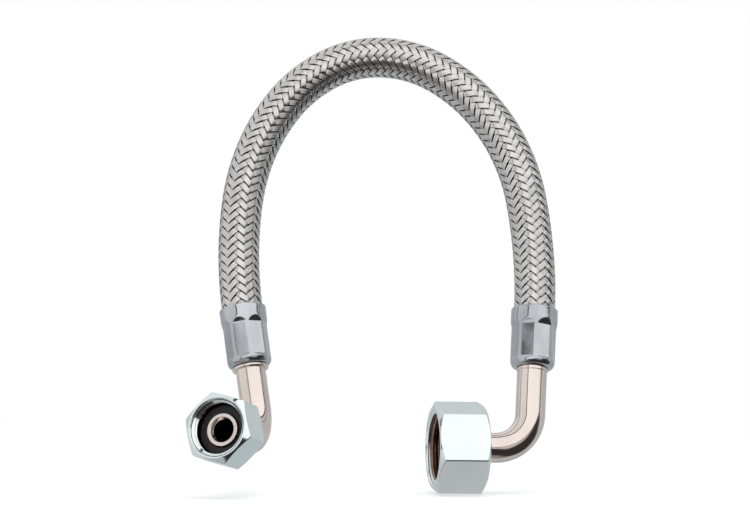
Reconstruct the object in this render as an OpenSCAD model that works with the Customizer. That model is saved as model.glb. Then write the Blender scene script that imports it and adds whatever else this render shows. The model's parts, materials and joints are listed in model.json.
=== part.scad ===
// Braided flexible supply line, 300 mm class: a stainless-braided rubber hose bent into an arch,
// with a crimped ferrule, a bent 90 degree tube and a captive swivel union nut at each end.
// The arch frame has its plane in XY and its top towards +Y. The finished part stands up and leans
// back from it, with the origin on the large union nut's axis, at the outer end of its thread.

/* [Hose] */
// Length of braid that shows between the two ferrules
hose_len = 204; // [190:1:220]
// Outside diameter of the braid
braid_d = 12.2; // [12:0.1:12.3]
// Bore of the rubber liner
liner_bore = 8.6; // [8.4:0.1:8.8]
// Direction in which the hose leaves the small end's ferrule, in the arch plane
start_heading = 98; // [90:1:105]
// How far the finished part leans back from upright
lean = 18; // [0:1:30]

/* [Ferrules] */
// Length of a crimped ferrule
ferrule_len = 18; // [17.8:0.1:20]
// Outside diameter of a ferrule's collar
ferrule_d = 13.9; // [13.8:0.1:14.2]
// Outside diameter of a ferrule below its collar
crimped_d = 13.2; // [13.1:0.1:13.4]
// Distance between opposite crimped flats
crimp_flats = 12.6; // [12.5:0.1:12.8]

/* [Bent tubes] */
// Outside diameter of the bent tube
tube_d = 8.8; // [8.6:0.1:9]
// Bore of the bent tube
tube_bore = 6; // [5:0.1:6.4]
// Centreline radius of the tube's bend
bend_r = 11; // [10:0.5:12]
// Length from the ferrule's end to the corner of the bend
leg_drop = 24.2; // [22:0.1:28]

/* [Small union nut, G3/8] */
// Distance across the small nut's flats
small_flats = 19; // [18.8:0.1:20]
// Length of the small nut
small_nut_len = 11; // [11:0.5:14]
// Distance from the bend's corner to the small nut's back
small_nut_back = 18.2; // [14:0.1:20]
// Angle of the small mouth above the arch plane
small_rise = 66; // [0:1:90]
// Turn of the small nut about its own axis
small_roll = 3; // [0:1:59]

/* [Large union nut, G1/2] */
// Distance across the large nut's flats
large_flats = 24; // [24:0.1:25]
// Length of the large nut
large_nut_len = 15; // [14:0.5:17]
// Distance from the bend's corner to the large nut's back
large_nut_back = 13.6; // [13:0.1:18]
// Angle of the large mouth above the arch plane
large_rise = 10; // [0:0.5:90]
// Turn of the large nut about its own axis
large_roll = 0; // [0:1:59]

/* [Hidden] */
$fn = 48;

// How much the hose turns over each of its twelve equal sections, from the small end
section_turns = [7.5, 7.5, 14.5, 16.5, 23.5, 31, 28, 19, 16.5, 15, 5.5, 6.6];
sections = len(section_turns);
section_len = hose_len / sections;
// Joints that bend the hose out of its arch plane; the others bend it in the plane
out_of_plane_joints = [3, 6, 9];
// How far each joint straightens the hose: one value per joint, from the small end
straighten_deg = [11, 19, 0, 28, 42, 0, 38, 26, 0, 18, 10];
tighten_deg = 3;
lift_deg = 18;
joint_gap = 0.3;

braid_wall = 0.6;
play = 0.05;
braid_r = braid_d / 2;
braid_bore_r = braid_r - braid_wall;
liner_r = braid_bore_r - play;
liner_bore_r = liner_bore / 2;

// Inside the ferrule the crimp squeezes the braid and the liner onto the barbed tail
collar_len = 4;
squeeze_end = 6;
squeezed_braid_r = 5.6;
squeezed_braid_bore_r = 5.1;
squeezed_liner_r = squeezed_braid_bore_r - play;
squeezed_liner_bore_r = 4.2;
hose_depth = 16.2;
ferrule_bore_r = squeezed_braid_r + play;
collar_r = ferrule_d / 2;
crimped_r = crimped_d / 2;
ferrule_lip_r = tube_d / 2 + play;
ferrule_nose = 2.9;
ferrule_lip = 1.4;
crimp_start = 5.6;
crimp_len = 9.2;
crimp_sides = 8;

// Tube: tail inside the hose, bead under the ferrule, leg, bend, stub, flange and nose
tube_r = tube_d / 2;
tube_bore_r = tube_bore / 2;
tail_r = 3.9;
barb_r = 4.15;
barb_pitch = 3;
barbs = 4;
tail_start = 2;
small_bead_r = 5.35;
large_bead_r = 4.55;
bead_len = 1;
nose_r = 4.85;
mouth_chamfer = 0.7;
// The straight end of the tube starts just inside the bend, a hair thicker, so that they fuse
fuse = 0.05;
fuse_step = 0.02;

// Threads: nominal G sizes, radii in millimetres
g38_minor_r = 7.475;
g38_major_r = 8.331;
g38_pitch = 1.337;
g12_minor_r = 9.316;
g12_major_r = 10.478;
g12_pitch = 1.814;
flank_deg = 27.5;
running = 0.1;
nut_wall = 2.4;
washer_len = 0.8;
flange_len = 1.2;
gasket_len = 2;
nose_past_gasket = 1;
lead_in = 0.8;
large_flange_r = 8.2;
small_flange_r = 6.6;
chamfer_deg = 30;
small_bend_turn = 90;
large_bend_turn = 84.9;

steel = [0.72, 0.72, 0.70];
ferrule_steel = [0.60, 0.63, 0.67];
nickel = [0.80, 0.75, 0.71];
chrome = [0.80, 0.85, 0.86];
rubber = [0.07, 0.07, 0.08];

// ---- Path of the hose ----

function turned(i) = i == 0 ? 0 : turned(i - 1) + section_turns[i - 1];
function heading(i) = start_heading - turned(i);
function arc_r(i) = section_len * 180 / (PI * section_turns[i]);
function right_of(h) = [sin(h), -cos(h)];
function arc_centre(i) = hose_at(i) + arc_r(i) * right_of(heading(i));
function hose_at(i) = i == 0 ? [0, 0] : arc_centre(i - 1) - arc_r(i - 1) * right_of(heading(i));

// ---- Placement ----

function fitting_dir(large) = large ? heading(sections) : heading(0) + 180;
function fitting_at(large) = large ? hose_at(sections) : hose_at(0);

// A fitting's own frame: origin where the hose enters the ferrule, +Z from the hose into the
// fitting, and the tube bends from +Z towards +X
module at_fitting(large) {
    translate([each fitting_at(large), 0])
        rotate([0, 0, fitting_dir(large)])
            rotate([0, 90, 0])
                rotate([0, 0, -90 - (large ? large_rise : small_rise)])
                    children();
}

// A mouth's own frame: origin at the corner of the bend, +Z out of the mouth
module at_mouth(large) {
    at_fitting(large)
        translate([0, 0, ferrule_len + leg_drop])
            rotate([0, large ? large_bend_turn : small_bend_turn, 0])
                children();
}

function turn_z(v, a) = [v.x * cos(a) - v.y * sin(a), v.x * sin(a) + v.y * cos(a), v.z];
function turn_y(v, a) = [v.x * cos(a) + v.z * sin(a), v.y, v.z * cos(a) - v.x * sin(a)];
function fitting_vector(large, v) = turn_z(
    turn_y(turn_z(v, -90 - (large ? large_rise : small_rise)), 90), fitting_dir(large));
function mouth_point(large, along) = [each fitting_at(large), 0] + fitting_vector(
    large,
    [0, 0, ferrule_len + leg_drop] + turn_y([0, 0, along], large ? large_bend_turn : small_bend_turn));

origin_point = mouth_point(true, large_nut_back + large_nut_len - lead_in);

// From the arch frame to the finished part's frame
module standing() {
    rotate([90 - lean, 0, 0])
        translate(-origin_point)
            children();
}

// ---- Hose sections ----

module arc_tube(i, outer_r, bore_r) {
    translate([each arc_centre(i), 0])
        rotate([0, 0, heading(i + 1) + 90])
            rotate_extrude(angle = section_turns[i])
                translate([arc_r(i), 0])
                    difference() {
                        circle(r = outer_r);
                        circle(r = bore_r);
                    }
}

// Clears the end of a hose section, so that two neighbours can turn about the point between
// them. outer_deg and inner_deg are the angles cleared on the outside and inside of the bend.
module relief(outer_deg, inner_deg, quarter) {
    reach = 2 * braid_r;
    rotate([quarter ? 90 : 0, 0, 0])
        linear_extrude(2 * reach, center = true)
            polygon([
                [-joint_gap / 2, 0],
                [-joint_gap / 2 - reach * tan(outer_deg), reach],
                [reach, reach],
                [reach, -reach],
                [-joint_gap / 2 - reach * tan(inner_deg), -reach]
            ]);
}

// The relief at joint k, placed so that it cuts the section before or after the joint
module joint_relief(k, after) {
    lifts = len(search(k, out_of_plane_joints)) > 0;
    translate([each hose_at(k), 0])
        rotate([0, 0, heading(k)])
            mirror([after ? 1 : 0, 0, 0])
                relief(
                    lifts ? lift_deg / 2 : straighten_deg[k - 1] / 2,
                    lifts ? lift_deg / 2 : tighten_deg / 2,
                    lifts);
}

module hose_section(i, outer_r, bore_r) {
    difference() {
        arc_tube(i, outer_r, bore_r);
        if (i > 0) joint_relief(i, true);
        if (i < sections - 1) joint_relief(i + 1, false);
    }
}

module hose_liner(i) {
    color(rubber) standing() hose_section(i, liner_r, liner_bore_r);
}

module hose_braid(i) {
    color(steel) standing() hose_section(i, braid_r, braid_bore_r);
}

// ---- Hose ends inside the ferrules ----

module liner_end(large) {
    color(rubber) standing() at_fitting(large)
        rotate_extrude()
            polygon([
                [liner_bore_r, play],
                [liner_r, play],
                [liner_r, collar_len],
                [squeezed_liner_r, squeeze_end],
                [squeezed_liner_r, hose_depth],
                [squeezed_liner_bore_r, hose_depth],
                [squeezed_liner_bore_r, squeeze_end]
            ]);
}

module braid_end(large) {
    color(steel) standing() at_fitting(large)
        rotate_extrude()
            polygon([
                [braid_bore_r, play],
                [braid_r, play],
                [braid_r, collar_len],
                [squeezed_braid_r, squeeze_end],
                [squeezed_braid_r, hose_depth],
                [squeezed_braid_bore_r, hose_depth],
                [squeezed_braid_bore_r, squeeze_end],
                [braid_bore_r, collar_len]
            ]);
}

// ---- Ferrules ----

module ferrule(large) {
    entry_r = braid_r + 0.15;
    edge = 0.3;
    color(ferrule_steel) standing() at_fitting(large)
        difference() {
            rotate_extrude()
                polygon([
                    [entry_r, 0],
                    [collar_r - edge, 0],
                    [collar_r, edge],
                    [collar_r, collar_len],
                    [crimped_r, crimp_start],
                    [crimped_r, ferrule_len - ferrule_nose],
                    [crimped_r - edge, ferrule_len - ferrule_lip],
                    [crimped_r - 4 * edge, ferrule_len],
                    [ferrule_lip_r, ferrule_len],
                    [ferrule_lip_r, ferrule_len - ferrule_lip],
                    [ferrule_bore_r, hose_depth + play],
                    [ferrule_bore_r, squeeze_end + play],
                    [entry_r, collar_len]
                ]);
            for (k = [0:crimp_sides - 1])
                rotate([0, 0, (k + 0.5) * 360 / crimp_sides])
                    translate([crimp_flats / 2, -collar_r, crimp_start])
                        cube([collar_r, 2 * collar_r, crimp_len]);
        }
}

// ---- Bent tubes ----

module bent_tube(large) {
    turn = large ? large_bend_turn : small_bend_turn;
    tangent = bend_r * tan(turn / 2);
    corner = ferrule_len + leg_drop;
    bend_start = corner - tangent;
    shank_end = (large ? large_nut_back : small_nut_back) + nut_wall + washer_len + play;
    flange_end = shank_end + flange_len;
    nose_end = flange_end + gasket_len + nose_past_gasket;
    flange_r = large ? large_flange_r : small_flange_r;
    bead_r = large ? large_bead_r : small_bead_r;
    barb_top = hose_depth - 1;
    color(nickel) standing() union() {
        at_fitting(large)
            rotate_extrude()
                polygon(concat(
                    [[tube_bore_r, tail_start], [tail_r, tail_start]],
                    [for (k = [0:barbs - 1], p = [0, 1])
                        p == 0
                            ? [tail_r, barb_top - (barbs - k) * barb_pitch + 0.2]
                            : [barb_r, barb_top - (barbs - k - 1) * barb_pitch]],
                    [
                        [tail_r, barb_top],
                        [tail_r, hose_depth + play],
                        [tube_r, hose_depth + play],
                        [tube_r, ferrule_len + play],
                        [bead_r, ferrule_len + play],
                        [bead_r, ferrule_len + play + bead_len],
                        [tube_r, ferrule_len + play + bead_len],
                        [tube_r, bend_start],
                        [tube_bore_r, bend_start]
                    ]));
        at_fitting(large)
            translate([bend_r, 0, bend_start])
                rotate([90, 0, 180])
                    rotate_extrude(angle = turn)
                        translate([bend_r, 0])
                            difference() {
                                circle(r = tube_r);
                                circle(r = tube_bore_r);
                            }
        at_mouth(large)
            rotate_extrude()
                polygon([
                    [tube_bore_r - fuse_step, tangent - fuse],
                    [tube_r + fuse_step, tangent - fuse],
                    [tube_r + fuse_step, shank_end],
                    [flange_r, shank_end],
                    [flange_r, flange_end],
                    [nose_r, flange_end],
                    [nose_r, nose_end],
                    [tube_bore_r + mouth_chamfer, nose_end],
                    [tube_bore_r - fuse_step, nose_end - 1.5 * mouth_chamfer]
                ]);
    }
}

// ---- Seals and washers ----

module gasket(large) {
    start = (large ? large_nut_back : small_nut_back) + nut_wall + washer_len + flange_len + 2 * play;
    outer_r = (large ? g12_minor_r : g38_minor_r) - running;
    color(rubber) standing() at_mouth(large) translate([0, 0, start])
        difference() {
            cylinder(r = outer_r, h = gasket_len);
            translate([0, 0, -1]) cylinder(r = nose_r + play, h = gasket_len + 2);
        }
}

module slip_washer(large) {
    start = (large ? large_nut_back : small_nut_back) + nut_wall + play / 2;
    outer_r = (large ? large_flange_r : small_flange_r) + 2 * running;
    color(nickel) standing() at_mouth(large) translate([0, 0, start])
        difference() {
            cylinder(r = outer_r, h = washer_len);
            translate([0, 0, -1]) cylinder(r = tube_r + play, h = washer_len + 2);
        }
}

// ---- Union nuts ----

// Cavity of a union nut, from the back wall's hole to the mouth: the thread is cut as rings
module nut_cavity(nut_len, minor_r, major_r, pitch) {
    thread_start = nut_wall + washer_len + flange_len + gasket_len + nose_past_gasket + 2 * play;
    depth = major_r - minor_r;
    half_groove = depth * tan(flank_deg);
    rings = floor((nut_len - lead_in - thread_start) / pitch);
    first = nut_len - lead_in - (rings - 0.5) * pitch;
    rotate_extrude()
        polygon(concat(
            [[0, -1], [tube_r + running, -1], [tube_r + running, nut_wall]],
            [[major_r, nut_wall], [major_r, thread_start - half_groove], [minor_r, thread_start]],
            [for (k = [0:rings - 1], p = [-1, 0, 1])
                [p == 0 ? major_r : minor_r, first + k * pitch + p * half_groove]],
            [
                [minor_r, nut_len - lead_in],
                [major_r - running, nut_len - running],
                [major_r - running, nut_len + 1],
                [0, nut_len + 1]
            ]));
}

// Outside of a union nut: a hexagon turned down to a cone at both ends
module nut_body(flats, nut_len) {
    corner_r = flats / 2 / cos(30);
    face_r = flats / 2 - 0.2;
    depth = (corner_r - face_r) * tan(chamfer_deg);
    intersection() {
        cylinder(r = corner_r, h = nut_len, $fn = 6);
        rotate_extrude()
            polygon([
                [0, 0],
                [face_r, 0],
                [corner_r + 0.1, depth + 0.06],
                [corner_r + 0.1, nut_len - depth - 0.06],
                [face_r, nut_len],
                [0, nut_len]
            ]);
    }
}

module union_nut(large) {
    nut_len = large ? large_nut_len : small_nut_len;
    color(chrome) standing() at_mouth(large)
        translate([0, 0, large ? large_nut_back : small_nut_back])
            rotate([0, 0, large ? large_roll : small_roll])
                difference() {
                    nut_body(large ? large_flats : small_flats, nut_len);
                    nut_cavity(
                        nut_len,
                        large ? g12_minor_r : g38_minor_r,
                        large ? g12_major_r : g38_major_r,
                        large ? g12_pitch : g38_pitch);
                }
}

// ---- Nodes ----

for (i = [1:sections]) {
    hose_liner(i - 1);
    hose_braid(i - 1);
}
liner_end(false);  // liner_end_small
liner_end(true);  // liner_end_large
braid_end(false);  // braid_end_small
braid_end(true);  // braid_end_large
ferrule(false);  // ferrule_small
ferrule(true);  // ferrule_large
bent_tube(false);  // bent_tube_small
bent_tube(true);  // bent_tube_large
gasket(false);  // gasket_small
gasket(true);  // gasket_large
slip_washer(false);  // slip_washer_small
slip_washer(true);  // slip_washer_large
union_nut(false);  // union_nut_small
union_nut(true);  // union_nut_large
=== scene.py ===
"""Looks for the braided supply line: woven sleeve, crimped ferrules, elbow tubes and union nuts."""

import json
import math

import bpy
import numpy as np
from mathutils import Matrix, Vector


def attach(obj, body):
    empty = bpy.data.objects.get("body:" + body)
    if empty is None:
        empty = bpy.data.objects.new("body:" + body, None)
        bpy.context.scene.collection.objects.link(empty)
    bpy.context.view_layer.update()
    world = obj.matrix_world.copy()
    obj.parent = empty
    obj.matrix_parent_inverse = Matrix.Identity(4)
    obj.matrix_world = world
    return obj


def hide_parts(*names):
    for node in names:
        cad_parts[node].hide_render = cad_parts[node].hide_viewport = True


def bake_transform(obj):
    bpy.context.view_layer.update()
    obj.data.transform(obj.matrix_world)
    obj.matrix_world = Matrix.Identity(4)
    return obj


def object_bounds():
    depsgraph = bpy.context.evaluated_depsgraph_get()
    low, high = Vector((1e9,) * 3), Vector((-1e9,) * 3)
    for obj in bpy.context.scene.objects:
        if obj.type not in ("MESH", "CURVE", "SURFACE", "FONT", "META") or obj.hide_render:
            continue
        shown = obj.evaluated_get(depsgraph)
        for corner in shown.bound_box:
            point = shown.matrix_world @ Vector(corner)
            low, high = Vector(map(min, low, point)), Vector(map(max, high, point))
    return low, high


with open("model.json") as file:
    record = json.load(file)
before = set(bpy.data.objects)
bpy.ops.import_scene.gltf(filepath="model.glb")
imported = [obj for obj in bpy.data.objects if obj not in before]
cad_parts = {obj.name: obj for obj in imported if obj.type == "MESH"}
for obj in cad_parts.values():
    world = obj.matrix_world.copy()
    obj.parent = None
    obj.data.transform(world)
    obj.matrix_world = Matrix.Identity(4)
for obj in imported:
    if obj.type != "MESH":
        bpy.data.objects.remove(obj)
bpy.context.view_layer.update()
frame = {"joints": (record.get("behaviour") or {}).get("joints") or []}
MM = 0.001
LARGE, SMALL = "large", "small"

# ---- Sizes, in metres ----

BRAID_R = 6.1 * MM
LINER_R = 5.3 * MM
LINER_BORE_R = 4.3 * MM

FERRULE_LEN = 18 * MM
COLLAR_R = 6.95 * MM
CRIMPED_R = 6.6 * MM
PRESSED_R = 6.27 * MM
JAW_ANGLE = math.pi / 4
JAW_FROM, JAW_TO = 5.6 * MM, 15.6 * MM
LEG_DROP = 24.2 * MM
BEND_R = 11 * MM
TUBE_R = 4.4 * MM
TUBE_BORE_R = 3 * MM
NOSE_R = 4.85 * MM
HOSE_DEPTH = 16.2 * MM
NUT_WALL = 2.4 * MM
NUT_EDGE_R = 0.6 * MM
NUT_CHAMFER_DEG = 30
ROWS_PER_PITCH = 14
WASHER_LEN = 0.8 * MM
FLANGE_LEN = 1.2 * MM
GASKET_LEN = 2 * MM
NOSE_PAST_GASKET = 1 * MM
LEAD_IN = 0.8 * MM
PLAY = 0.05 * MM

# end_turn is the hose's turn in its end section and crimp_roll that of the ferrule's flats, both in
# degrees. The chamfers' circle lies inset from the flats, the mouth widens by flare, and the chrome
# colour reaches unshaded_depth deep into the thread; deeper in, the thread carries painted shade.
ENDS = {
    LARGE: dict(flats=24 * MM, nut_len=15 * MM, nut_back=13.6 * MM, minor=9.316 * MM,
                major=10.478 * MM, pitch=1.814 * MM, roll=0.0, bead=4.55 * MM, flange=8.2 * MM,
                end_turn=6.6, crimp_roll=5.0, inset=0.35 * MM, flare=0.35 * MM,
                unshaded_depth=1.1 * MM),
    SMALL: dict(flats=19 * MM, nut_len=11 * MM, nut_back=18.2 * MM, minor=7.475 * MM,
                major=8.331 * MM, pitch=1.337 * MM, roll=3.0, bead=5.35 * MM, flange=6.6 * MM,
                end_turn=7.5, crimp_roll=12.0, inset=0.6 * MM, flare=0.2 * MM,
                unshaded_depth=2.7 * MM),
}

# ---- Path of the hose, from the record's joints ----

JOINTS = {j["name"]: j for j in frame["joints"]}
HOSE_JOINTS = sorted(
    (j for j in frame["joints"] if j["name"].startswith("hose_")),
    key=lambda j: int(j["name"].split("_")[-1]))
SECTIONS = len(HOSE_JOINTS) + 1


def unit(v):
    return v / np.linalg.norm(v)


def turned(v, axis, angle):
    """v turned by angle about a unit axis, by the right-hand rule."""
    c, s = math.cos(angle), math.sin(angle)
    return v * c + np.cross(axis, v) * s + axis * (axis @ v) * (1 - c)


bends = [j for j in HOSE_JOINTS if "bend" in j["name"]]
sways = [j for j in HOSE_JOINTS if "sway" in j["name"]]
# The arch's plane normal, towards the viewer: the hose turns clockwise about it from small to large
NORMAL = unit(np.array(bends[0]["axis"], float))
NORMAL = NORMAL if NORMAL[1] < 0 else -NORMAL

points = {k + 1: np.array(j["pos_m"], float) for k, j in enumerate(HOSE_JOINTS)}
tangents = {}
start_k = int(sways[1]["name"].split("_")[-1])
tangents[start_k] = unit(np.cross(NORMAL, np.array(sways[1]["axis"], float)))
for k in range(start_k, SECTIONS - 1):
    chord = unit(points[k + 1] - points[k])
    tangents[k + 1] = unit(2 * (tangents[k] @ chord) * chord - tangents[k])
for k in range(start_k, 1, -1):
    chord = unit(points[k] - points[k - 1])
    tangents[k - 1] = unit(2 * (tangents[k] @ chord) * chord - tangents[k])


def arc_angle(t0, t1):
    return math.acos(max(-1.0, min(1.0, float(t0 @ t1))))


first_turn = arc_angle(tangents[1], tangents[2])
SECTION_LEN = np.linalg.norm(points[2] - points[1]) / (2 * math.sin(first_turn / 2)) * first_turn
for end, k, step in ((SMALL, 0, 1), (LARGE, SECTIONS, -1)):
    end_turn = math.radians(ENDS[end]["end_turn"])
    chord = 2 * SECTION_LEN / end_turn * math.sin(end_turn / 2)
    inner = tangents[k + step]
    tangents[k] = turned(inner, NORMAL, step * end_turn)
    points[k] = points[k + step] - step * chord * turned(inner, NORMAL, step * end_turn / 2)
HOSE_LEN = SECTIONS * SECTION_LEN


def hose_frames(s):
    """Centre, tangent and outward normal of the hose at each arc length in s."""
    s = np.asarray(s, float)
    i = np.clip((s / SECTION_LEN).astype(int), 0, SECTIONS - 1)
    centre = np.zeros((len(s), 3))
    along = np.zeros((len(s), 3))
    for k in range(SECTIONS):
        chosen = i == k
        if not chosen.any():
            continue
        turn = arc_angle(tangents[k], tangents[k + 1])
        radius = SECTION_LEN / turn
        inward = np.cross(tangents[k], NORMAL)
        angle = ((s[chosen] - k * SECTION_LEN) / radius)[:, None]
        centre[chosen] = points[k] + radius * (
            np.sin(angle) * tangents[k] + (1 - np.cos(angle)) * inward)
        along[chosen] = np.cos(angle) * tangents[k] + np.sin(angle) * inward
    outward = np.cross(NORMAL, along)
    return centre, along, outward


# ---- Mesh building ----


def smooth_step(a, b, x):
    """0 at a and 1 at b, with level ends; a may be larger than b."""
    t = np.clip((x - a) / (b - a), 0, 1)
    return t * t * (3 - 2 * t)


def add_piece(name, verts, quads, material, caps=()):
    """A mesh object from vertices, quads and flat end caps (lists of vertex indices)."""
    verts = np.asarray(verts, np.float32).reshape(-1, 3)
    quads = np.asarray(quads, np.int32).reshape(-1, 4)
    sizes = np.concatenate([np.full(len(quads), 4), [len(c) for c in caps]]).astype(np.int32)
    loops = np.concatenate([quads.ravel()] + [np.asarray(c) for c in caps]).astype(np.int32)
    mesh = bpy.data.meshes.new(name)
    mesh.vertices.add(len(verts))
    mesh.vertices.foreach_set("co", verts.ravel())
    mesh.loops.add(len(loops))
    mesh.loops.foreach_set("vertex_index", loops)
    mesh.polygons.add(len(sizes))
    mesh.polygons.foreach_set(
        "loop_start", np.concatenate([[0], np.cumsum(sizes)[:-1]]).astype(np.int32))
    flags = np.ones(len(sizes), bool)
    flags[len(quads):] = False
    mesh.polygons.foreach_set("use_smooth", flags)
    mesh.update(calc_edges=True)
    edge_of_loop = np.zeros(len(loops), np.int32)
    mesh.loops.foreach_get("edge_index", edge_of_loop)
    sharp = np.zeros(len(mesh.edges), bool)
    sharp[edge_of_loop[4 * len(quads):]] = True
    mesh.attributes.new("sharp_edge", "BOOLEAN", "EDGE").data.foreach_set("value", sharp)
    mesh.materials.append(material)
    piece = bpy.data.objects.new(name, mesh)
    bpy.context.scene.collection.objects.link(piece)
    return piece


def grid_quads(rows, cols, wrap_rows=True, wrap_cols=True):
    r = np.arange(rows if wrap_rows else rows - 1)
    c = np.arange(cols if wrap_cols else cols - 1)
    r, c = np.meshgrid(r, c, indexing="ij")
    r1, c1 = (r + 1) % rows, (c + 1) % cols
    return np.stack([r * cols + c, r * cols + c1, r1 * cols + c1, r1 * cols + c], -1).reshape(-1, 4)


def rounded(corners, radius, steps=4):
    """A closed profile with small fillets at its corners and support points beside them.
    corners is a list of (a, b) or (a, b, own_radius); own_radius 0 keeps the corner as it is."""
    pts = [np.array(c[:2], float) for c in corners]
    own = [c[2] if len(c) > 2 else radius for c in corners]
    out = []
    for i, p in enumerate(pts):
        before, after = pts[i - 1], pts[(i + 1) % len(pts)]
        u, v = before - p, after - p
        lu, lv = np.linalg.norm(u), np.linalg.norm(v)
        if own[i] <= 0:
            out.append(p)
            continue
        u, v = u / lu, v / lv
        reach = min(own[i], 0.35 * lu, 0.35 * lv)
        support = 1.35 * reach
        out.append(p + u * support)
        for t in np.linspace(0, 1, steps):
            a, b, c = (1 - t) ** 2, 2 * t * (1 - t), t * t
            out.append(a * (p + u * reach) + b * p + c * (p + v * reach))
        out.append(p + v * support)
    return np.array(out)


def fix_to(piece, body, node):
    """A rigid piece rides on its body, in place of a CAD node."""
    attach(piece, body)
    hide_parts(node)


class Place:
    """A local frame: origin, and the directions of local X, Y and Z."""

    def __init__(self, origin, x, z):
        self.o, self.z = np.array(origin, float), unit(np.array(z, float))
        self.x = unit(x - (x @ self.z) * self.z)
        self.y = np.cross(self.z, self.x)

    def at(self, a, b, c):
        a, b, c = (np.asarray(q, float)[..., None] for q in (a, b, c))
        return self.o + a * self.x + b * self.y + c * self.z


def lathe(name, place, profile, material, angles=96, relief=None):
    """A closed ring surface: profile holds (radius, height) points, in one loop."""
    th = np.linspace(0, 2 * np.pi, angles, endpoint=False) if np.isscalar(angles) else angles
    r = np.repeat(profile[None, :, 0], len(th), 0) if profile.ndim == 2 else profile[:, :, 0]
    z = np.repeat(profile[None, :, 1], len(th), 0) if profile.ndim == 2 else profile[:, :, 1]
    if relief is not None:
        r = relief(r, z, th[:, None])
    verts = place.at(r * np.cos(th)[:, None], r * np.sin(th)[:, None], z)
    quads = grid_quads(*r.shape)
    if np.sum(r[0] * np.roll(z[0], -1) - np.roll(r[0], -1) * z[0]) > 0:
        # The loop runs so that its faces would look inwards
        quads = quads[:, ::-1]
    return add_piece(name, verts, quads, material)


# ---- Materials ----

GRAIN_HEIGHT = 0.02 * MM
RUBBER_GRAIN_HEIGHT = 0.05 * MM


def new_material(name):
    m = bpy.data.materials.new(name)
    m.use_nodes = True
    return m, m.node_tree.nodes, m.node_tree.links, m.node_tree.nodes["Principled BSDF"]


def noise_node(nodes, links, scale, detail=4.0, stretch=(1, 1, 1)):
    coords = nodes.new("ShaderNodeTexCoord")
    mapping = nodes.new("ShaderNodeMapping")
    mapping.inputs["Scale"].default_value = stretch
    noise = nodes.new("ShaderNodeTexNoise")
    noise.inputs["Scale"].default_value = scale
    noise.inputs["Detail"].default_value = detail
    links.new(coords.outputs["Object"], mapping.inputs["Vector"])
    links.new(mapping.outputs["Vector"], noise.inputs["Vector"])
    return noise


def ramp(nodes, links, source, low, high, start=0.35, end=0.65):
    node = nodes.new("ShaderNodeValToRGB")
    for stop, place, tone in zip(node.color_ramp.elements, (start, end), (low, high)):
        stop.position = place
        stop.color = (*tone, 1) if isinstance(tone, tuple) else (tone, tone, tone, 1)
    links.new(source, node.inputs["Fac"])
    return node.outputs["Color"]


def bump(nodes, links, shader, height, strength, distance):
    node = nodes.new("ShaderNodeBump")
    node.inputs["Strength"].default_value = strength
    node.inputs["Distance"].default_value = distance
    links.new(height, node.inputs["Height"])
    links.new(node.outputs["Normal"], shader.inputs["Normal"])


def edge_wear(nodes, links, colour, worn, amount=0.5):
    """Brightens convex edges a little, as handling does."""
    geometry = nodes.new("ShaderNodeNewGeometry")
    mask = nodes.new("ShaderNodeMapRange")
    mask.inputs["From Min"].default_value, mask.inputs["From Max"].default_value = 0.52, 0.62
    mask.inputs["To Max"].default_value = amount
    mix = nodes.new("ShaderNodeMix")
    mix.data_type = "RGBA"
    links.new(geometry.outputs["Pointiness"], mask.inputs["Value"])
    links.new(mask.outputs["Result"], mix.inputs["Factor"])
    links.new(colour, mix.inputs["A"])
    mix.inputs["B"].default_value = (*worn, 1)
    return mix.outputs["Result"]


def metal(name, low, high, rough_low, rough_high, scale, stretch=(1, 1, 1), grain=0.0,
          grain_scale=4000.0, wear=None):
    """Plated or turned metal with cloudy colour, smudged gloss and a fine grain."""
    m, nodes, links, shader = new_material(name)
    cloud = noise_node(nodes, links, scale, 5.0, stretch)
    colour = ramp(nodes, links, cloud.outputs["Fac"], low, high)
    if wear:
        colour = edge_wear(nodes, links, colour, wear)
    links.new(colour, shader.inputs["Base Color"])
    smudge = noise_node(nodes, links, scale * 2.3, 6.0, stretch)
    links.new(ramp(nodes, links, smudge.outputs["Fac"], rough_low, rough_high),
              shader.inputs["Roughness"])
    shader.inputs["Metallic"].default_value = 1.0
    fine = noise_node(nodes, links, grain_scale, 3.0, stretch)
    bump(nodes, links, shader, fine.outputs["Fac"], grain, GRAIN_HEIGHT)
    return m


def braided(name, low, high, rough_low, rough_high, crevice_shade, reach):
    """Drawn wire: colour varies from wire to wire, and painted shade darkens it deep between the
    strands.
    """
    m, nodes, links, shader = new_material(name)
    cloud = noise_node(nodes, links, 420.0, 5.0)
    colour = ramp(nodes, links, cloud.outputs["Fac"], low, high, 0.3, 0.7)
    # Painted shade: ambient occlusion darkens the base colour where the strands crowd each other,
    # as shade falls there
    shade = nodes.new("ShaderNodeAmbientOcclusion")
    shade.inputs["Distance"].default_value = reach
    shade.samples = 8
    mask = ramp(nodes, links, shade.outputs["AO"], crevice_shade, 1.0, 0.30, 0.72)
    mix = nodes.new("ShaderNodeMix")
    mix.data_type, mix.blend_type = "RGBA", "MULTIPLY"
    mix.inputs["Factor"].default_value = 1.0
    links.new(colour, mix.inputs["A"])
    links.new(mask, mix.inputs["B"])
    links.new(mix.outputs["Result"], shader.inputs["Base Color"])
    smudge = noise_node(nodes, links, 900.0, 5.0)
    links.new(ramp(nodes, links, smudge.outputs["Fac"], rough_low, rough_high),
              shader.inputs["Roughness"])
    shader.inputs["Metallic"].default_value = 1.0
    fine = noise_node(nodes, links, 9000.0, 3.0)
    bump(nodes, links, shader, fine.outputs["Fac"], 0.2, GRAIN_HEIGHT)
    return m


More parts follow.
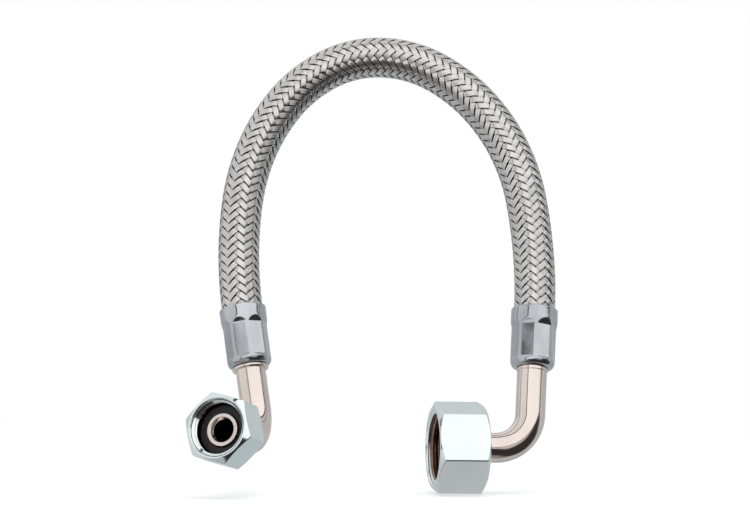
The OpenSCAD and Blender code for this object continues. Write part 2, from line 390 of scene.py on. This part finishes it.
def rubber(name, low, high, scale=900.0):
    """Matt black rubber with a cloudy, slightly rough skin."""
    m, nodes, links, shader = new_material(name)
    cloud = noise_node(nodes, links, scale, 6.0)
    links.new(ramp(nodes, links, cloud.outputs["Fac"], low, high), shader.inputs["Base Color"])
    links.new(ramp(nodes, links, cloud.outputs["Fac"], 0.45, 0.7), shader.inputs["Roughness"])
    bump(nodes, links, shader, cloud.outputs["Fac"], 0.3, RUBBER_GRAIN_HEIGHT)
    return m


# The braid's base colour carries painted shade between its strands
braid_metal = braided("woven_steel", (0.56, 0.55, 0.55), (0.71, 0.695, 0.69), 0.17, 0.28,
                      0.01, 0.7 * MM)
ferrule_metal = metal("ferrule_steel", (0.43, 0.445, 0.475), (0.56, 0.575, 0.605), 0.12, 0.21,
                      160.0, stretch=(1, 1, 0.25), grain=0.1, wear=(0.78, 0.80, 0.83))
nickel = metal("nickel_plate", (0.69, 0.605, 0.57), (0.79, 0.695, 0.655), 0.08, 0.14, 120.0,
               stretch=(1, 1, 0.12), grain=0.12, grain_scale=3000.0)
chrome = metal("nut_chrome", (0.75, 0.81, 0.825), (0.80, 0.85, 0.865), 0.04, 0.09, 90.0,
               grain=0.03, grain_scale=2500.0, wear=(0.93, 0.95, 0.95))
# Painted shade and reflection for the deep thread inside the nut's mouth: a dark warm brown, not
# the metal's own colour
bore_shade_paint = metal("bore_shade_paint", (0.16, 0.10, 0.08), (0.30, 0.20, 0.15), 0.20, 0.34, 300.0,
                    grain=0.2)
brass = metal("washer_brass", (0.26, 0.21, 0.13), (0.36, 0.30, 0.19), 0.30, 0.45, 300.0,
              grain=0.2)
liner_rubber = rubber("liner_rubber", (0.008, 0.008, 0.009), (0.02, 0.02, 0.022))
seal_rubber = rubber("seal_rubber", (0.008, 0.006, 0.007), (0.020, 0.016, 0.018), 1400.0)

# ---- Woven braid ----

CARRIERS = 12
LEAD = 31.4 * MM
WIRES = 7
STRAND_W = 1.60 * MM
WAVE = 0.24 * MM
WIRE_BUMP = 0.05 * MM
STRAND_T = 0.30 * MM
BRAID_MID_R = BRAID_R - WAVE - STRAND_T / 2
BRAID_STEP = 0.30 * MM
WEAVE_SPIN = 2 * math.pi / LEAD
STRAND_TILT = math.atan(WEAVE_SPIN * BRAID_MID_R)
STRAND_ANGLE = 2 * math.pi / CARRIERS
# Strands run over two and under two, so their wave repeats every four crossings
TWILL = 4
# A power under 1 flattens the wave's crests
CREST_POWER = 0.55
POINTS_PER_WIRE = 3
# Width of a strand's flat underside, as a share of its whole width
UNDERSIDE = 0.94


def strand_section():
    """Across-width positions and heights of one strand: rounded wires on top, flat below."""
    w, h = [], []
    count = WIRES * POINTS_PER_WIRE
    for n in range(count + 1):
        between_wires = n % POINTS_PER_WIRE == 0
        w.append((n / count - 0.5) * STRAND_W)
        h.append(STRAND_T / 2 - (WIRE_BUMP if between_wires else 0))
    h[0] = h[-1] = 0.0
    w += [STRAND_W / 2 * UNDERSIDE, -STRAND_W / 2 * UNDERSIDE]
    h += [-STRAND_T / 2, -STRAND_T / 2]
    return np.array(w), np.array(h)


def woven(s0, s1):
    """Vertices, quads and caps of the strands between two arc lengths."""
    steps = max(2, int(round((s1 - s0) / BRAID_STEP)) + 1)
    s = np.linspace(s0, s1, steps)
    centre, _, outward = hose_frames(s)
    w, h = strand_section()
    n = len(w)
    verts, quads, caps = [], [], []
    base = 0
    for family in (1, -1):
        for strand in range(CARRIERS):
            theta = strand * STRAND_ANGLE + family * WEAVE_SPIN * s[:, None]
            across = w[None, :] / math.cos(STRAND_TILT)
            theta = theta + across / BRAID_MID_R
            s_eff = s[:, None] + family * across * math.sin(STRAND_TILT) * math.cos(STRAND_TILT)
            crossings = 2 * WEAVE_SPIN * s_eff / STRAND_ANGLE
            if family > 0:
                phase = (2 * strand + crossings - 0.5) / TWILL
            else:
                phase = (2 * strand - crossings - 2.5) / TWILL
            wave = np.cos(2 * np.pi * phase)
            wave = np.sign(wave) * np.abs(wave) ** CREST_POWER
            r = BRAID_MID_R + WAVE * wave + h[None, :]
            pts = (centre[:, None, :] + (r * np.cos(theta))[..., None] * outward[:, None, :]
                   + (r * np.sin(theta))[..., None] * NORMAL)
            verts.append(pts.reshape(-1, 3))
            quads.append(grid_quads(steps, n, wrap_rows=False) + base)
            caps.append(base + np.arange(n)[::-1])
            caps.append(base + (steps - 1) * n + np.arange(n))
            base += steps * n
    return np.concatenate(verts), np.concatenate(quads), caps


def sleeve(s0, s1, outer, inner, steps=24, around=48):
    """A plain closed sleeve of the hose between two arc lengths, for the liner."""
    s = np.linspace(s0, s1, steps)
    rows = [(q, outer) for q in s] + [(q, inner) for q in s[::-1]]
    centre, _, outward = hose_frames(np.array([q for q, _ in rows]))
    th = np.linspace(0, 2 * np.pi, around, endpoint=False)
    r = np.array([q for _, q in rows])[:, None]
    verts = (centre[:, None, :] + (r * np.cos(th))[..., None] * outward[:, None, :]
             + (r * np.sin(th))[..., None] * NORMAL)
    return verts.reshape(-1, 3), grid_quads(len(rows), around)


def hose_stretch(label, s0, s1):
    """Braid and liner between two arc lengths, each with its CAD node's stem and its slot."""
    verts, quads, caps = woven(s0, s1)
    braid = add_piece(f"braid_{label}", verts, quads, braid_metal, caps)
    verts, quads = sleeve(s0, s1, LINER_R, LINER_BORE_R)
    liner = add_piece(f"liner_{label}", verts, quads, liner_rubber)
    return (braid, "hose_braid", "braid_steel"), (liner, "hose_liner", "liner_rubber")


def hose_pieces():
    """Pieces from mid-section to mid-section, and a rigid half section at each end."""
    for k in range(1, SECTIONS):
        s0, s1 = (k - 0.5) * SECTION_LEN, (k + 0.5) * SECTION_LEN
        (a, b), _, _ = hose_frames([s0, s1])
        for piece, node, slot in hose_stretch(k, s0, s1):
            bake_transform(piece)
            if k > 1:
                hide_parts(f"{node}_{k}")
    for end, k, s0, s1 in ((SMALL, 1, 0.0, 0.5 * SECTION_LEN),
                           (LARGE, SECTIONS, HOSE_LEN - 0.5 * SECTION_LEN, HOSE_LEN)):
        for piece, node, slot in hose_stretch(f"at_{end}_end", s0, s1):
            fix_to(piece, f"{end}_end", f"{node}_{k}")


# ---- Fittings ----


def end_places(end):
    """The fitting's frame, the corner of the bend, the mouth's frame and the bend's turn."""
    joint = JOINTS[f"{end}_nut_turn"]
    mouth_dir = unit(np.array(joint["axis"], float))
    size = ENDS[end]
    k = SECTIONS if end == LARGE else 0
    along = tangents[k] if end == LARGE else -tangents[k]
    fitting = Place(points[k], mouth_dir, along)
    corner = np.array(joint["pos_m"], float) - mouth_dir * (
        size["nut_back"] + size["nut_len"] - LEAD_IN)
    turn = math.acos(float(along @ mouth_dir))
    # Local X of the mouth's frame is what the fitting's X becomes after the bend
    mouth = Place(corner, turned(fitting.x, fitting.y, turn), mouth_dir)
    return fitting, mouth, turn


def ferrule(end, fitting):
    """Turned sleeve with a bulged collar, eight crimped flats and a rolled lower lip."""
    entry = BRAID_R + 0.12 * MM
    squeezed = 5.66 * MM
    lip = TUBE_R + 0.06 * MM
    collar_end, crimped_start = 3.4 * MM, 6.6 * MM
    rim = 0.45 * MM
    nose, nose_drop, nose_power = 2.6 * MM, 1.5 * MM, 2.4

    outer = []
    for z in np.linspace(0, FERRULE_LEN, 110):
        r = COLLAR_R - (COLLAR_R - CRIMPED_R) * smooth_step(collar_end, crimped_start, z)
        if z < rim:
            r -= rim - math.sqrt(max(0.0, rim ** 2 - (rim - z) ** 2))
        left = FERRULE_LEN - z
        if left < nose:
            t = 1 - left / nose
            r = CRIMPED_R - nose_drop * (1 - math.sqrt(max(0.0, 1 - t ** nose_power)))
        outer.append((r, z))
    inner = [(lip, FERRULE_LEN - 0.1 * MM), (lip, FERRULE_LEN - 1.4 * MM),
             (squeezed, HOSE_DEPTH + PLAY), (squeezed, 6.1 * MM), (entry, 4.1 * MM),
             (entry, 0.25 * MM), (entry + 0.15 * MM, 0.05 * MM)]
    profile = np.array(outer + inner)
    shown = len(outer)

    def crimps(r, z, th):
        r = r.copy()
        th = th - math.radians(ENDS[end]["crimp_roll"])
        phi = th % JAW_ANGLE - JAW_ANGLE / 2
        zo, ro = z[:, :shown], r[:, :shown]
        # Each jaw leaves a flat with sloping ends, so its top and bottom come out scalloped
        above = np.clip(JAW_FROM - zo, 0, None)
        below = np.clip(zo - JAW_TO, 0, None)
        slope = 0.38 * above + 0.3 * below + (30 * above ** 2 + 300 * below ** 2)
        flat = (PRESSED_R + slope) / np.cos(phi)
        # A smooth minimum keeps the ribs between the flats rounded
        rib = 0.06 * MM
        h = np.clip(0.5 + 0.5 * (flat - ro) / rib, 0, 1)
        pressed_r = flat * (1 - h) + ro * h - rib * h * (1 - h)
        # The jaws leave the sleeve a little oval, except at its rim and its lip
        oval = 0.05 * MM
        squeeze = oval * np.cos(2 * th + 0.6) * smooth_step(0.5 * MM, 3 * MM, zo)
        away_from_rim = smooth_step(0.0, 1.2 * MM, zo)
        away_from_lip = 1 - smooth_step(FERRULE_LEN - 3 * MM, FERRULE_LEN - 1 * MM, zo)
        r[:, :shown] = pressed_r + (squeeze - oval) * away_from_rim * away_from_lip
        return r

    piece = lathe(f"crimped_ferrule_{end}", fitting, profile, ferrule_metal, 224, crimps)
    fix_to(piece, f"{end}_end", f"ferrule_{end}")


def elbow_tube(end, fitting, mouth, turn):
    """Barbed tail, bead, leg, bend, flange and nose as one closed swept tube."""
    size = ENDS[end]
    tangent = BEND_R * math.tan(turn / 2)
    corner = FERRULE_LEN + LEG_DROP
    bend_start = corner - tangent
    bend_len = BEND_R * turn
    after = bend_start + bend_len - tangent
    shank_end = after + size["nut_back"] + NUT_WALL + WASHER_LEN + PLAY
    flange_end = shank_end + FLANGE_LEN
    nose_end = flange_end + GASKET_LEN + NOSE_PAST_GASKET
    tail, barb = 3.9 * MM, 4.1 * MM
    tail_start, tail_end = 2 * MM, 15.3 * MM
    barbs, barb_pitch, barb_foot, barb_crest = 4, 3 * MM, 3.4 * MM, 6.2 * MM
    corners = [(TUBE_BORE_R, tail_start), (tail, tail_start)]
    for k in range(barbs):
        corners += [(tail, barb_foot + k * barb_pitch), (barb, barb_crest + k * barb_pitch)]
    bead = size["bead"]
    bead_at = FERRULE_LEN + PLAY
    corners += [
        (tail, tail_end), (tail, HOSE_DEPTH + PLAY), (TUBE_R, HOSE_DEPTH + PLAY),
        (TUBE_R, bead_at), (bead, bead_at + 0.05 * MM, 0.3 * MM),
        (bead, bead_at + 0.95 * MM, 0.3 * MM), (TUBE_R, bead_at + 1.05 * MM, 0.1 * MM)]
    corners += [(TUBE_R, q, 0) for q in np.linspace(bead_at + 2 * MM, bend_start, 6)[:-1]]
    bend_rows = np.linspace(bend_start, bend_start + bend_len, 41)
    corners += [(TUBE_R, q, 0) for q in bend_rows]
    corners += [(TUBE_R, q, 0) for q in np.linspace(bend_start + bend_len, shank_end, 5)[1:-1]]
    corners += [
        (TUBE_R, shank_end, 0.05 * MM), (size["flange"], shank_end, 0.2 * MM),
        (size["flange"], flange_end, 0.2 * MM), (NOSE_R, flange_end, 0.1 * MM),
        (NOSE_R, nose_end, 0.28 * MM), (TUBE_BORE_R + 0.75 * MM, nose_end, 0.15 * MM),
        (TUBE_BORE_R, nose_end - 1.05 * MM, 0.2 * MM)]
    corners += [(TUBE_BORE_R, q, 0) for q in bend_rows[::-1]]
    profile = rounded(corners, 0.08 * MM, 4)

    around = 96
    th = np.linspace(0, 2 * np.pi, around, endpoint=False)
    rows = np.zeros((len(profile), around, 3))
    for n, (r, q) in enumerate(profile):
        x, y = r * np.cos(th), r * np.sin(th)
        if q <= bend_start:
            rows[n] = fitting.at(x, y, np.full(around, q))
        elif q <= bend_start + bend_len:
            # The middle of the bend is BEND_R from the leg's axis, towards local X
            a = (q - bend_start) / BEND_R
            reach = BEND_R - x
            rows[n] = fitting.at(BEND_R - reach * math.cos(a), y, bend_start + reach * math.sin(a))
        else:
            rows[n] = mouth.at(x, y, np.full(around, q - after))
    piece = add_piece(f"elbow_tube_{end}", rows.reshape(-1, 3),
                      grid_quads(len(profile), around), nickel)
    fix_to(piece, f"{end}_end", f"bent_tube_{end}")


def flat_ring(name, mouth, outer, bore, at, thick, edge, steps, material):
    """A washer-like ring with edges rounded to radius edge."""
    profile = rounded([(bore, at), (outer, at), (outer, at + thick), (bore, at + thick)],
                      edge, steps)
    return lathe(name, mouth, profile, material)


def seals(end, mouth):
    """Gasket on the tube's nose, and the slip washer behind its flange."""
    size = ENDS[end]
    washer_at = size["nut_back"] + NUT_WALL + PLAY / 2
    gasket_at = size["nut_back"] + NUT_WALL + WASHER_LEN + FLANGE_LEN + 2 * PLAY
    gasket = flat_ring(f"flat_gasket_{end}", mouth, size["minor"] - 0.1 * MM, NOSE_R + PLAY,
                       gasket_at, GASKET_LEN, 0.3 * MM, 5, seal_rubber)
    fix_to(gasket, f"{end}_end", f"gasket_{end}")
    washer = flat_ring(f"slip_ring_{end}", mouth, size["flange"] + 0.2 * MM, TUBE_R + PLAY,
                       washer_at, WASHER_LEN, 0.15 * MM, 4, brass)
    fix_to(washer, f"{end}_washer", f"slip_washer_{end}")


def hexagon(flats, edge_r):
    """Angles round a hexagon and its radius at each; a rounded corner is at angle 0."""
    inset = (flats / 2 - edge_r) / math.cos(math.pi / 6)
    limit = math.atan2(edge_r / 2, inset + edge_r * math.cos(math.pi / 6))
    near = list(np.linspace(-limit, limit, 7)) + [1.25 * limit, 2 * limit]
    far = list(np.linspace(4 * limit, math.pi / 3 - 4 * limit, 22))
    last = [math.pi / 3 - 2 * limit, math.pi / 3 - 1.25 * limit]
    angles, radii = [], []
    for side in range(6):
        for a in near + far + last:
            if abs(a) <= limit + 1e-9:
                r = inset * math.cos(a) + math.sqrt(edge_r ** 2 - (inset * math.sin(a)) ** 2)
            else:
                r = flats / 2 / math.cos(a - math.pi / 6)
            angles.append(a + side * math.pi / 3)
            radii.append(r)
    return np.array(angles), np.array(radii)


def union_nut(end, mouth):
    """Hexagon nut with curved chamfers outside and a helical thread inside."""
    size = ENDS[end]
    length, minor, major, pitch = size["nut_len"], size["minor"], size["major"], size["pitch"]
    angles, radii = hexagon(size["flats"], NUT_EDGE_R)
    face = size["flats"] / 2 - size["inset"]
    mouth_r = major + size["flare"]
    slope = math.tan(math.radians(NUT_CHAMFER_DEG))
    hole = TUBE_R + 0.1 * MM
    thread_start = NUT_WALL + WASHER_LEN + FLANGE_LEN + GASKET_LEN + NOSE_PAST_GASKET + 2 * PLAY
    thread_rows = np.arange(length - LEAD_IN * 0.6, thread_start, -pitch / ROWS_PER_PITCH)
    depth = major - minor
    # Share of the pitch that stays at the root or the crest before the flanks begin
    level = 0.12
    thinned = 0.02 * MM
    rings = []
    for a, outer in zip(angles, radii):
        cut = (outer - face) * slope
        outside = rounded([
            (hole, 0.0, 0.15 * MM), (face, 0.0, 0.25 * MM), (outer, cut, 0.18 * MM),
            (outer, length - cut, 0.18 * MM), (face, length, 0.25 * MM),
            (mouth_r, length, 0.15 * MM)], 0.2 * MM, 4)
        inner = [(major, length - size["flare"])]
        for z in thread_rows:
            turn = (z / pitch - a / (2 * math.pi)) % 1.0
            ridge = abs(turn - 0.5) * 2
            fade = smooth_step(length - LEAD_IN * 0.4, length - 1.3 * LEAD_IN, z) * smooth_step(
                thread_start, thread_start + 0.5 * pitch, z)
            crest = np.clip((ridge - level) / (1 - 2 * level), 0, 1)
            inner.append((major - depth * crest * fade - thinned, z))
        inner += [(major, thread_start - 0.1 * MM), (major, NUT_WALL + 0.3 * MM),
                  (major - 0.3 * MM, NUT_WALL), (hole + 0.1 * MM, NUT_WALL)]
        rings.append(np.concatenate([outside, np.array(inner)]) + [0, size["nut_back"]])
    nut = lathe(f"swivel_nut_{end}", mouth, np.array(rings),
                chrome, angles + math.radians(size["roll"]))
    # Painted shade and reflection: deeper than unshaded_depth inside the mouth, the thread is
    # coloured dark warm brown for the shade and the warm reflection in the bore
    nut.data.materials.append(bore_shade_paint)
    ring = rings[0]
    inside = np.arange(len(ring)) >= len(ring) - len(inner)
    in_painted_shade = inside & (ring[:, 1] < size["nut_back"] + length - size["unshaded_depth"])
    in_painted_shade = np.broadcast_to(in_painted_shade, (len(angles), len(ring)))
    nut.data.polygons.foreach_set("material_index", in_painted_shade.astype(np.int32).ravel())
    fix_to(nut, f"{end}_nut", f"union_nut_{end}")


def crimped_ends(end, fitting):
    """The squeezed ends of the braid and the liner inside the ferrule."""
    loose, tight = 4 * MM, 6 * MM
    for name, node, outer, inner, squeezed, bore, material, slot in (
            ("braid_tail", "braid_end", BRAID_R - 0.1 * MM, 5.45 * MM, 5.6 * MM, 5.1 * MM,
             braid_metal, "braid_steel"),
            ("liner_tail", "liner_end", 5.4 * MM, 4.3 * MM, 5.05 * MM, 4.2 * MM,
             liner_rubber, "liner_rubber")):
        profile = rounded([
            (inner, PLAY), (outer, PLAY), (outer, loose), (squeezed, tight),
            (squeezed, HOSE_DEPTH), (bore, HOSE_DEPTH), (bore, tight), (inner, loose)],
            0.05 * MM, 3)
        piece = lathe(f"{name}_{end}", fitting, profile, material, 72)
        fix_to(piece, f"{end}_end", f"{node}_{end}")


hose_pieces()
for end in (SMALL, LARGE):
    fitting, mouth, turn = end_places(end)
    ferrule(end, fitting)
    crimped_ends(end, fitting)
    elbow_tube(end, fitting, mouth, turn)
    seals(end, mouth)
    union_nut(end, mouth)

# ---- Floor, light and camera ----

low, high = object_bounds()
FLOOR_GAP = 0.3 * MM
FLOOR_Z = low.z - FLOOR_GAP


def floor_piece():
    """A pale disc that takes the contact shadows and fades to white away from the part."""
    radii = (0.1, 0.2, 0.4, 1.0, 3.0, 8.0)
    around = 64
    centre = (low + high) / 2
    verts = [(centre.x + r * math.cos(2 * math.pi * n / around),
              centre.y + r * math.sin(2 * math.pi * n / around), FLOOR_Z)
             for r in radii for n in range(around)]
    quads = grid_quads(len(radii), around, wrap_rows=False)[:, ::-1]
    m, nodes, links, shader = new_material("floor_pale")
    shader.inputs["Base Color"].default_value = (0.93, 0.94, 0.94, 1)
    shader.inputs["Roughness"].default_value = 0.9
    glow = nodes.new("ShaderNodeEmission")
    glow.inputs["Color"].default_value = (1, 1, 1, 1)
    fade = nodes.new("ShaderNodeMapRange")
    for label, value in (("From Min", 0.10), ("From Max", 0.45), ("To Min", 0.6), ("To Max", 1.0)):
        fade.inputs[label].default_value = value
    fade.interpolation_type = "SMOOTHSTEP"
    coords = nodes.new("ShaderNodeTexCoord")
    away = nodes.new("ShaderNodeVectorMath")
    away.operation = "DISTANCE"
    away.inputs[1].default_value = (centre.x, centre.y, FLOOR_Z)
    path = nodes.new("ShaderNodeLightPath")
    camera_only = nodes.new("ShaderNodeMath")
    camera_only.operation = "MULTIPLY"
    mix = nodes.new("ShaderNodeMixShader")
    links.new(coords.outputs["Object"], away.inputs[0])
    links.new(away.outputs["Value"], fade.inputs["Value"])
    links.new(fade.outputs["Result"], camera_only.inputs[0])
    links.new(path.outputs["Is Camera Ray"], camera_only.inputs[1])
    links.new(camera_only.outputs["Value"], mix.inputs["Fac"])
    links.new(shader.outputs["BSDF"], mix.inputs[1])
    links.new(glow.outputs["Emission"], mix.inputs[2])
    links.new(mix.outputs["Shader"], nodes["Material Output"].inputs["Surface"])
    floor = add_piece("floor", verts, quads, m, caps=[np.arange(around)])
    floor.visible_glossy = False


floor_piece()

world = bpy.data.worlds.new("studio")
bpy.context.scene.world = world
world.use_nodes = True
wn, wl = world.node_tree.nodes, world.node_tree.links
background = wn["Background"]
coords = wn.new("ShaderNodeTexCoord")


def beyond(direction, start, end):
    """0 where the part of a view along direction is under start, 1 over end."""
    dot = wn.new("ShaderNodeVectorMath")
    dot.operation = "DOT_PRODUCT"
    dot.inputs[1].default_value = tuple(unit(np.array(direction, float)))
    wl.new(coords.outputs["Generated"], dot.inputs[0])
    edge = wn.new("ShaderNodeMapRange")
    edge.interpolation_type = "SMOOTHSTEP"
    edge.inputs["From Min"].default_value = start
    edge.inputs["From Max"].default_value = end
    wl.new(dot.outputs["Value"], edge.inputs["Value"])
    return edge.outputs["Result"]


def towards(direction, wide_deg, narrow_deg):
    """1 inside narrow_deg of a direction, 0 outside wide_deg, smooth between."""
    return beyond(direction, math.cos(math.radians(wide_deg)), math.cos(math.radians(narrow_deg)))


def over(under, mask, tone):
    """Paints tone over the colour or socket under, where mask is 1."""
    mix = wn.new("ShaderNodeMix")
    mix.data_type = "RGBA"
    wl.new(mask, mix.inputs["Factor"])
    if isinstance(under, tuple):
        mix.inputs["A"].default_value = (*under, 1)
    else:
        wl.new(under, mix.inputs["A"])
    mix.inputs["B"].default_value = (*tone, 1)
    return mix.outputs["Result"]


def all_of(masks):
    """1 only where every mask is 1."""
    product = masks[0]
    for mask in masks[1:]:
        times = wn.new("ShaderNodeMath")
        times.operation = "MULTIPLY"
        wl.new(product, times.inputs[0])
        wl.new(mask, times.inputs[1])
        product = times.outputs["Value"]
    return product


# What the metal mirrors: a grey room, lit above and on the left, dark below and in front
BACK, DOWN, FRONT = (0, 1, 0), (0, 0, -1), (0, -1, 0)
room = (0.72, 0.73, 0.73)
room = over(room, beyond(BACK, -0.1, 0.4), (0.595, 0.62, 0.625))
room = over(room, all_of([beyond(BACK, 0.2, 0.6), beyond(DOWN, 0.1, 0.4)]), (0.53, 0.58, 0.585))
room = over(room, towards((-0.25, 0.25, 0.93), 58, 28), (0.92, 0.92, 0.92))
room = over(room, towards((-0.9, -0.35, 0.35), 50, 30), (0.90, 0.90, 0.90))
room = over(room, all_of([beyond(DOWN, 0.42, 0.65), beyond(FRONT, -0.14, 0.14)]),
            (0.34, 0.325, 0.325))

# A bright panel fills the upper front right behind a black rim; three edges bound them both
LEFT_EDGE = (0.805, -0.588, -0.077)
BACK_EDGE = (-0.14, -0.99, 0)
BOTTOM_EDGE = (-0.378, 0.074, 0.925)
rim = all_of([beyond(LEFT_EDGE, -0.11, -0.07), beyond(BACK_EDGE, -0.16, -0.11),
              beyond(BOTTOM_EDGE, -0.14, -0.09)])
panel = all_of([beyond(LEFT_EDGE, -0.02, 0.03), beyond(BACK_EDGE, -0.04, 0.02),
                beyond(BOTTOM_EDGE, -0.09, -0.04)])
room = over(room, rim, (0.03, 0.03, 0.032))
for dark_at, wide_deg, narrow_deg, tone in (
        ((0.91, -0.41, 0.02), 24, 13, (0.05, 0.05, 0.052)),
        ((0.08, -0.88, -0.47), 34, 25, (0.035, 0.03, 0.03)),
        ((0.78, -0.40, -0.48), 40, 28, (0.045, 0.04, 0.04)),
        ((-0.25, -0.92, -0.28), 26, 18, (0.035, 0.03, 0.03))):
    room = over(room, towards(dark_at, wide_deg, narrow_deg), tone)
room = over(room, panel, (1.2, 1.2, 1.19))
# The camera itself sees plain white
path = wn.new("ShaderNodeLightPath")
room = over(room, path.outputs["Is Camera Ray"], (1, 1, 1))
wl.new(room, background.inputs["Color"])
background.inputs["Strength"].default_value = 1.0


def softbox(name, offset, side, power, aim):
    """A square soft light at an offset from what it is aimed at."""
    light = bpy.data.lights.new(name, "AREA")
    light.shape, light.size, light.size_y, light.energy = "RECTANGLE", side, side, power
    lamp = bpy.data.objects.new(name, light)
    bpy.context.scene.collection.objects.link(lamp)
    lamp.location = aim + offset
    lamp.rotation_mode = "QUATERNION"
    lamp.rotation_quaternion = (-offset).to_track_quat("-Z", "Y")
    lamp.visible_glossy = False


softbox("top", Vector((0.1, -0.1, 1.0)), 0.8, 8, (low + high) / 2)

# A level camera along +Y with a long lens; it aims at a point set from the small ferrule's rim
CAMERA_DISTANCE = 1.0
SENSOR_MM = 36
LENS_MM = 161.616
AIM_RIGHT, AIM_UP = 39.21 * MM, 14.15 * MM
camera_data = bpy.data.cameras.new("camera")
camera_data.sensor_width = SENSOR_MM
camera_data.lens = LENS_MM
camera_data.clip_start, camera_data.clip_end = 0.05, 30
camera = bpy.data.objects.new("camera", camera_data)
bpy.context.scene.collection.objects.link(camera)
up = unit(np.cross([1, 0, 0], NORMAL))
up = up if up[2] > 0 else -up
aim = points[0] + AIM_RIGHT * np.array([1, 0, 0]) + AIM_UP * up
camera.location = aim - np.array([0, CAMERA_DISTANCE, 0])
camera.rotation_euler = (math.pi / 2, 0, 0)
bpy.context.scene.camera = camera
bpy.context.scene.view_settings.view_transform = "Standard"
